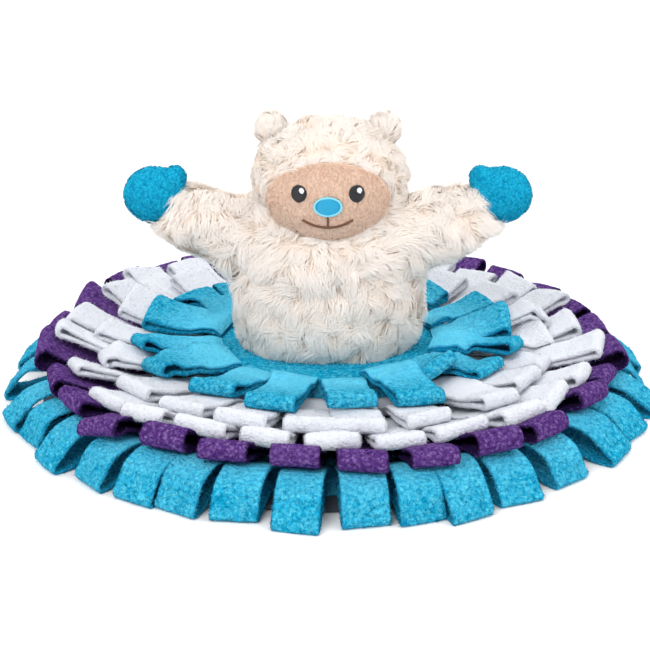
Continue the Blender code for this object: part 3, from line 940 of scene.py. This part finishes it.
def sampleSkin(points, faces, count, rng, extra=None):
    # evenly spread places on a skin, with the outward direction at each, and with the values
    # there of anything else that the skin's points hold
    normals = normalsOf(points, faces)
    triangles = np.array([(f[0], f[k], f[k + 1]) for f in faces for k in range(1, len(f) - 1)])
    a, b, c = (points[triangles[:, k]] for k in range(3))
    area = np.linalg.norm(np.cross(b - a, c - a), axis=1)
    chosen = rng.choice(len(triangles), count, p=area / area.sum())
    u = np.sqrt(rng.random(count))[:, None]
    v = rng.random(count)[:, None]
    weights = (1 - u, u * (1 - v), u * v)
    spots = sum(w * points[triangles[chosen, k]] for k, w in enumerate(weights))
    out = unit(sum(w * normals[triangles[chosen, k]] for k, w in enumerate(weights)))
    if extra is None:
        return spots, out
    held = {label: values[triangles[chosen, 0]] for label, values in extra.items()}
    return spots, out, held


def unit(vectors):
    return vectors / np.maximum(np.linalg.norm(vectors, axis=1, keepdims=True), 1e-9)


def alongSkin(vectors, normals):
    # the part of each vector that lies in the skin
    return unit(vectors - (vectors * normals).sum(1, keepdims=True) * normals)


def growLocks(name, roots, normals, flow, length, facts, finish, rng):
    # tapered fibres as narrow ribbons; fibres of one tuft lean to the tuft's own middle line
    count = len(roots)
    share = np.linspace(0, 1, facts["steps"] + 1)
    tufts = max(8, int(count / facts["perTuft"]))
    picked = rng.choice(count, tufts, replace=False)
    tree = KDTree(tufts)
    for n, p in enumerate(roots[picked]):
        tree.insert(Vector(p), n)
    tree.balance()
    nearest = np.array([tree.find(Vector(p))[1] for p in roots])
    lean = np.stack([softNoise(roots[picked] + k * 0.37, facts["swirl"], 900 + k) for k in range(3)], -1)
    lean += 0.5 * rng.normal(size=(tufts, 3))
    heading = alongSkin(flow[picked] + facts["wild"] * lean, normals[picked])
    bend = rng.normal(size=tufts) * facts["curve"]
    phase = rng.random(tufts) * math.tau
    tuftTone = rng.random(tufts)

    def line(start, n, d, size, rise, curve, shift):
        # points of a fibre: up off the skin, over and down again along the flow, waving a little
        s = share[None, :, None]
        side = np.cross(n, d)
        up = rise[:, None, None] * (1 - (1 - s) ** 2) * (1 - 0.36 * s**2)
        go = size[:, None, None] * (0.12 * s + 0.88 * s**1.25)
        wave = size[:, None, None] * (curve[:, None, None] * s**2
                                      + facts["wave"] * np.sin(5.2 * s + shift[:, None, None]) * s)
        fall = go**2 / (2 * facts["round"])
        middle = start[:, None, :] + n[:, None, :] * (up - fall) + d[:, None, :] * go
        return middle + side[:, None, :] * wave

    own = heading[nearest] + facts.get("stray", 0.28) * rng.normal(size=(count, 3))
    own = alongSkin(own, normals)
    size = length * rng.uniform(0.75, 1.1, count)
    tuftRise = rng.uniform(0.75, 1.2, tufts)
    rise = facts["rise"] * rng.uniform(0.8, 1.15, count) * np.clip(length / length.max(), 0.6, 1)
    rise = rise * tuftRise[nearest] * np.where(rng.random(count) < 0.02, 1.35, 1)   # and a few wisps
    fibres = line(roots, normals, own, size, rise, bend[nearest], phase[nearest])
    cores = line(roots[picked], normals[picked], heading, length[picked], rise[picked] * 1.1, bend, phase)
    pull = facts["gather"] * share[None, :, None] ** 1.5
    fibres = fibres + (cores[nearest] - fibres) * pull
    layRibbons(name, fibres, normals, own, tuftTone[nearest], facts, finish, rng)


def layRibbons(name, fibres, normals, heading, tone, facts, finish, rng):
    # each fibre as a flat ribbon that narrows to a point, shaded with the skin under it
    count, steps = fibres.shape[0], fibres.shape[1] - 1
    share = np.linspace(0, 1, steps + 1)
    tangents = np.gradient(fibres, axis=1)
    roll = rng.normal(size=(count, 1, 1)) * 0.2
    faceOut = normals[:, None, :] + roll * np.cross(normals, heading)[:, None, :]
    across = np.cross(tangents, np.broadcast_to(faceOut, tangents.shape))
    across /= np.maximum(np.linalg.norm(across, axis=2, keepdims=True), 1e-9)
    wide = facts["width"] / 2 * (1 - share**2.2)[None, :-1, None] * rng.uniform(0.7, 1.3, (count, 1, 1))
    left = fibres[:, :-1] - across[:, :-1] * wide
    right = fibres[:, :-1] + across[:, :-1] * wide
    rows = np.stack([left, right], 2).reshape(count, 2 * steps, 3)
    points = np.concatenate([rows, fibres[:, -1:]], 1).reshape(-1, 3)
    each = 2 * steps + 1
    starts = (np.arange(count) * each)[:, None]
    faces = []
    for k in range(steps - 1):
        faces += (starts + np.array([2 * k, 2 * k + 1, 2 * k + 3, 2 * k + 2])).tolist()
    faces += (starts + np.array([2 * steps - 2, 2 * steps - 1, 2 * steps])).tolist()
    along = tangents / np.maximum(np.linalg.norm(tangents, axis=2, keepdims=True), 1e-9)
    raised = normals[:, None, :] * np.ones_like(along)
    raised = raised - facts.get("slope", 0.0) * (raised * along).sum(2, keepdims=True) * along
    soft = raised[:, :, None, :] + facts.get("roundness", 0.35) * np.stack([-across, across], 2)
    soft = soft[:, :-1].reshape(count, 2 * steps, 3)
    shading = np.concatenate([soft, raised[:, -1:]], 1).reshape(-1, 3)
    height = np.tile(np.append(np.repeat(share[:-1], 2), 1.0), count)
    tone = np.repeat(0.65 * tone + 0.35 * rng.random(count), each)
    addMesh(name, points, faces, finish, {"height": height, "tone": tone}, unit(shading))


def growNap(piece, name, count, long, finish, seed):
    # the loose fibres of the fleece nap, one thin blade each, over the upper side of a piece
    rng = np.random.default_rng(seed)
    mesh = piece.data
    points = np.zeros(len(mesh.vertices) * 3)
    mesh.vertices.foreach_get("co", points)
    points = points.reshape(-1, 3)
    tones = {}
    for label in ("inside", "tip", "tone"):
        tones[label] = np.zeros(len(points), dtype=np.float32)
        mesh.attributes[label].data.foreach_get("value", tones[label])
    faces = [list(p.vertices) for p in mesh.polygons if len(p.vertices) == 4]
    faces = [f for f in faces if tones["inside"][f].min() < 0.6 and tones["tip"][f].max() > 0.02]
    cut = [f for f in faces if tones["inside"][f].max() > 0.2]
    if cut:                                    # cut edges hold five times as many loose fibres
        faces = faces + cut * 4
    roots, normals, where = sampleSkin(points, faces, count, rng, extra=tones)
    lie = alongSkin(rng.normal(size=(count, 3)), normals)
    size = long * rng.uniform(0.5, 1.2, (count, 1))
    ends = roots + size * unit(0.6 * normals + lie * rng.uniform(0.6, 1.6, (count, 1)))
    across = np.cross(normals, lie) * long * 0.11
    blades = np.stack([roots + across, roots - across, ends], 1).reshape(-1, 3)
    blades[:, 2] = np.maximum(blades[:, 2], 0.2 * mm)
    faces = np.arange(3 * count).reshape(-1, 3).tolist()
    shading = np.repeat(unit(normals + 0.15 * lie), 3, axis=0)
    made = {
        "tip": np.repeat(where["tip"], 3), "edge": np.zeros(3 * count), "inside": np.zeros(3 * count),
        "tone": np.repeat(where["tone"] + rng.uniform(-0.5, 1.2, count), 3),
    }
    addMesh(name, blades, faces, finish, made, shading)


# round is the radius of the form that the fibres lie along, and roundness and slope set how
# their shading differs from that of the skin
coatFur = {
    "steps": 3, "perTuft": 55, "swirl": 22 * mm, "wild": 1.2, "curve": 0.3, "wave": 0.1,
    "rise": 6.0 * mm, "gather": 0.38, "width": 0.5 * mm, "round": 60 * mm, "roundness": 0.03,
    "stray": 0.33, "slope": 0.65,
}
earFur = {
    "steps": 3, "perTuft": 20, "swirl": 18 * mm, "wild": 0.6, "curve": 0.2, "wave": 0.1,
    "rise": 2.0 * mm, "gather": 0.5, "width": 0.7 * mm, "round": 20 * mm,
}
facePlush = {
    "steps": 2, "perTuft": 12, "swirl": 16 * mm, "wild": 0.8, "curve": 0.1, "wave": 0.05,
    "rise": 1.1 * mm, "gather": 0.35, "width": 0.5 * mm, "round": 50 * mm,
}
mittPlush = {
    "steps": 2, "perTuft": 10, "swirl": 12 * mm, "wild": 0.7, "curve": 0.1, "wave": 0.05,
    "rise": 1.0 * mm, "gather": 0.35, "width": 0.5 * mm, "round": 20 * mm,
}


def combFur(roots, normals, rng):
    # the way the coat's fur lies and how long it is: out from the face on the head, down and a
    # little outwards on the arms, and down the body, where it turns sideways near the disc
    x, y, z = (roots / mm).T
    fromFace = np.stack([x, 0.6 * (y + 40), z - face["height"]], -1) / 40
    low = np.clip((62 - z) / 25, 0, 1)
    spread = 0.006 + 0.02 * low
    down = np.stack([x * spread, y * spread, np.full(len(z), -1.0)], -1)
    out = np.stack([np.sign(x) * 0.35, 0 * x - 0.1, 0 * x - 0.9], -1)
    isHead = np.clip((z - 104) / 14, 0, 1) * (np.abs(x) < 55)
    isArm = np.clip((np.abs(x) - 52) / 12, 0, 1) * (1 - isHead)
    isBody = (1 - isHead) * (1 - isArm)
    flow = fromFace * isHead[:, None] + down * isBody[:, None] + out * isArm[:, None]
    sideways = np.stack([-y, x, 0 * z], -1) / 50
    flow = flow + (low * 1.1 * softNoise(roots, 13 * mm, 77))[:, None] * sideways
    flow = alongSkin(flow, normals)
    length = np.where(isHead > 0.5, 11.5, 15.0) - 2.5 * isArm
    length = np.minimum(length, 5.5 + 0.75 * (z - figure["seat"] / mm))   # the lowest ends on the disc
    rim = np.hypot(x / face["across"], (z - face["height"]) / face["up"])
    atRim = (y < 0) & (rim < 1.5)
    length = np.where(atRim, np.minimum(length, 7.0 + 12 * (rim - 0.95)), length)
    inwards = atRim & (rim < 1.2) & (rng.random(len(z)) < 0.72)   # some lies over the patch's edge
    return np.where(inwards[:, None], -0.7 * flow, flow), length * mm


def makeFigure():
    rng = np.random.default_rng(41)
    balls = list(figure["balls"]) + list(armBalls(1)) + list(armBalls(-1))
    skin, faces = roundForm("coat", balls, figure["voxel"], -figure["shrink"], 14)
    skin[:, 2] = np.maximum(skin[:, 2], figure["seat"] + 2 * mm)
    lumps = 1.9 * mm * softNoise(skin, 15 * mm, 5) + 1.0 * mm * softNoise(skin, 8 * mm, 6)
    skin = skin + normalsOf(skin, faces) * lumps[:, None]
    skin[:, 2] = np.maximum(skin[:, 2], figure["seat"] + 2 * mm)
    shade = {"height": np.full(len(skin), 0.1), "tone": np.full(len(skin), 0.5)}
    coat = addMesh("plush_coat", skin, faces, creamFur, shade)
    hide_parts("plush_body")
    roots, normals = sampleSkin(skin, faces, 78000, rng)
    x, y, z = (roots / mm).T
    onFace = (np.hypot(x / (face["across"] - 1.5), (z - face["height"]) / (face["up"] - 1.5)) < 1) & (y < 0)
    paw = figure["paw"]
    inPaw = (np.abs(x) > paw[0] - 12) & (np.hypot(np.abs(x) - paw[0], z - paw[2]) < 14)
    keep = ~onFace & ~inPaw & (z > figure["seat"] / mm + 2.1)
    roots, normals = roots[keep], normals[keep]
    flow, length = combFur(roots, normals, rng)
    z = roots[:, 2] / mm
    for name, half in (("body_fur", z < 106), ("head_fur", z >= 106)):
        growLocks(name, roots[half], normals[half], flow[half], length[half], coatFur, creamFur, rng)
    print("fur made,", len(roots), "fibres")


def makeFace():
    # the oval patch of short plush, let into the fur and following the head
    rows, spokes = 26, 96
    turn = turns(spokes)
    reach = np.linspace(0.02, 1, rows)[:, None]
    x = face["across"] * reach * np.cos(turn)
    z = face["height"] + face["up"] * reach * np.sin(turn)
    front = facePoint(x, z) + 3.6 * np.clip((reach - 0.7) / 0.3, 0, 1) ** 2
    top = pointsAt(x, front, z) * mm
    back = pointsAt(x, front + face["cloth"], z)[::-1] * mm
    points = np.concatenate([top, back]).reshape(-1, 3)
    faces = solidFaces(2 * rows, spokes)
    isFront = np.repeat(np.arange(2 * rows) < rows, spokes)
    points[:, 1] -= 0.35 * mm * softNoise(points, 6 * mm, 8) * isFront
    patch = addMesh("face_plush", points, faces, tanPile, {"height": np.full(len(points), 0.1)})
    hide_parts("face_patch")
    rng = np.random.default_rng(52)
    roots, normals = sampleSkin(points[:rows * spokes], faces[:(rows - 1) * spokes], 8000, rng)
    flow = np.stack([roots[:, 0] * 12, 0 * roots[:, 0], -0.8 + 0 * roots[:, 0]], -1)
    growLocks("face_pile", roots, normals, alongSkin(flow, normals), np.full(len(roots), 2.6 * mm),
              facePlush, tanPile, rng)


def makeMitt(side, name, rng):
    # a mitt with its thumb, and the seam that runs round it
    paw, thumb = figure["paw"], figure["thumb"]
    balls = [(paw[0] * side, *paw[1:]), (thumb[0] * side, *thumb[1:])]
    points, faces = roundForm(name + "_mitt", balls, 1.7 * mm, -0.6 * mm, 4)
    seam = np.exp(-((points[:, 1] - paw[1] * mm) / (0.9 * mm)) ** 2)
    points = points - normalsOf(points, faces) * (0.8 * mm * seam)[:, None]
    mitt = addMesh("mitt_" + name, points, faces, bluePile, {"height": np.full(len(points), 0.15)})
    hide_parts("paw_" + name)
    roots, normals = sampleSkin(points, faces, 5000, rng)
    flow = alongSkin(np.tile([0.6 * side, 0, 0.8], (len(roots), 1)), normals)
    growLocks("mitt_pile_" + name, roots, normals, flow, np.full(len(roots), 2.2 * mm), mittPlush,
              bluePile, rng)


def makeEar(side, name, rng):
    ear = figure["ear"]
    points, faces = roundForm(name + "_ear", [(ear[0] * side, *ear[1:])], 2.0 * mm, -2.5 * mm, 2)
    shade = {"height": np.full(len(points), 0.25), "tone": np.full(len(points), 0.5)}
    piece = addMesh("round_ear_" + name, points, faces, creamFur, shade)
    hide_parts("ear_" + name)
    roots, normals = sampleSkin(points, faces, 2000, rng)
    flow = alongSkin(roots - np.array([ear[0] * side, ear[1], ear[2] - 12]) * mm, normals)
    growLocks("ear_fur_" + name, roots, normals, flow, np.full(len(roots), 6.5 * mm), earFur,
              creamFur, rng)


# all of the embroidery is in millimetres on the face, across and up, with slants in degrees
stitch = {"pitch": 0.42, "thick": 0.5, "high": 0.75}
eye = {"middle": (17, 140.5), "half": (4.6, 5.2), "slant": 8}
eyeLight = {"aside": 1.5, "height": 142.6, "half": (1.5, 1.6), "slant": 20}
nose = {"height": 133, "half": (7.6, 5.2), "edgeHalf": (8.0, 5.6), "edge": 1.3}
mouth = {"half": 15, "height": 119.5, "bend": 0.020, "wide": 1.6, "lineTop": 127.6, "line": 1.3}
threads = {
    "black": ("tan_plush", (0.006, 0.006, 0.007), (0.022, 0.022, 0.025)),
    "white": ("tan_plush", (0.75, 0.76, 0.80), (0.90, 0.90, 0.92)),
    "brown": ("tan_plush", (0.12, 0.045, 0.022), (0.22, 0.085, 0.042)),
    "blue": ("blue_plush", (0.005, 0.30, 0.52), (0.02, 0.42, 0.66)),
    "pale_blue": ("blue_plush", (0.16, 0.62, 0.80), (0.32, 0.76, 0.90)),
}


def threadRun(batch, ends, proud):
    # one satin stitch over the face, from one point to the other, in face millimetres
    (x0, z0), (x1, z1) = ends
    t = np.linspace(0, 1, 8)
    x = x0 + (x1 - x0) * t
    z = z0 + (z1 - z0) * t
    lift = proud + stitch["high"] * np.sqrt(np.maximum(1 - (2 * t - 1) ** 4, 0)) - 0.15
    across = np.array([-(z1 - z0), x1 - x0])
    across = across / max(np.linalg.norm(across), 1e-6) * stitch["thick"] / 2
    rows = []
    for side, deep in ((1, 0), (0, -0.22), (-1, 0), (0, 0.22)):
        px = x + across[0] * side
        pz = z + across[1] * side
        rows.append(np.stack([px, facePoint(px, pz, 0.9) - lift + deep, pz], -1))
    points = np.stack(rows, 1).reshape(-1, 3) * mm
    faces = gridFaces(len(t), 4)
    faces.append([0, 1, 2, 3])
    faces.append([4 * len(t) - 4 + k for k in range(4)][::-1])
    batch.add(points, faces)


def satinOval(name, middle, half, slant, finish, proud):
    # an oval filled with satin stitches, side by side
    batch = Batch()
    across, up = half
    tilt = math.radians(slant)
    for row in np.arange(-up + 0.1, up, stitch["pitch"]):
        reach = across * math.sqrt(max(1 - (row / up) ** 2, 0))
        ends = []
        for u in (-reach, reach):
            ends.append((middle[0] + u * math.cos(tilt) - row * math.sin(tilt),
                         middle[1] + u * math.sin(tilt) + row * math.cos(tilt)))
        if reach > 0.3:
            threadRun(batch, ends, proud)
    batch.build(name, finish)


def satinLine(name, path, wide, slant, finish, proud):
    # a line of short stitches laid across a path
    batch = Batch()
    path = np.array(path)
    along = lengthsAlong(*path.T)
    ticks = np.arange(0, along[-1], stitch["pitch"])
    xs = np.interp(ticks, along, path[:, 0])
    zs = np.interp(ticks, along, path[:, 1])
    dx = np.gradient(xs)
    dz = np.gradient(zs)
    for x, z, u, v in zip(xs, zs, dx, dz):
        size = math.hypot(u, v) / (wide / 2)
        turn = math.radians(90 - slant)
        a = (u * math.cos(turn) - v * math.sin(turn)) / size
        b = (u * math.sin(turn) + v * math.cos(turn)) / size
        threadRun(batch, ((x - a, z - b), (x + a, z + b)), proud)
    batch.build(name, finish)


def makeEmbroidery():
    black, white, brown, blue, pale = (thread(name + "_thread", *facts) for name, facts in threads.items())
    for side, name in ((-1, "left"), (1, "right")):
        x, z = eye["middle"]
        satinOval("eye_" + name, (x * side, z), eye["half"], eye["slant"] * side, black, 0.2)
        middle = (x * side + eyeLight["aside"], eyeLight["height"])
        satinOval("eye_light_" + name, middle, eyeLight["half"], eyeLight["slant"], white, 0.9)
    satinOval("nose", (0, nose["height"]), nose["half"], 0, blue, 0.2)
    across, up = nose["edgeHalf"]
    around = np.linspace(0, math.tau, 80)
    edge = [(across * math.cos(a), nose["height"] + up * math.sin(a)) for a in around]
    satinLine("nose_edge", edge, nose["edge"], 10, pale, 0.45)
    places = np.linspace(-mouth["half"], mouth["half"], 60)
    smile = [(x, mouth["height"] + mouth["bend"] * x * x) for x in places]
    satinLine("mouth", smile, mouth["wide"], 18, brown, 0.2)
    drop = [(0, z) for z in np.linspace(mouth["lineTop"], mouth["height"] + 0.3, 24)]
    satinLine("mouth_line", drop, mouth["line"], 18, brown, 0.15)


makeFigure()
makeFace()
for side, name in ((-1, "left"), (1, "right")):
    rng = np.random.default_rng(60 + side)
    makeMitt(side, name, rng)
    makeEar(side, name, rng)
makeEmbroidery()
print("figure made")

naps = (
    ("outer_ring", "outer_nap", 26000, 1.9 * mm, blueFleece),
    ("purple_ring", "purple_nap", 16000, 1.7 * mm, purpleFleece),
    ("outer_white_ring", "outer_white_nap", 24000, 2.0 * mm, whiteFleece),
    ("inner_white_ring", "inner_white_nap", 20000, 2.0 * mm, whiteFleece),
    ("inner_blue_ring", "inner_blue_nap", 14000, 1.8 * mm, blueFleece),
    ("fleece_disc", "disc_nap", 5000, 1.4 * mm, blueFleece),
)
for number, (piece, name, count, long, finish) in enumerate(naps):
    growNap(bpy.data.objects[piece], name, count, long, finish, 700 + number)
print("nap made")
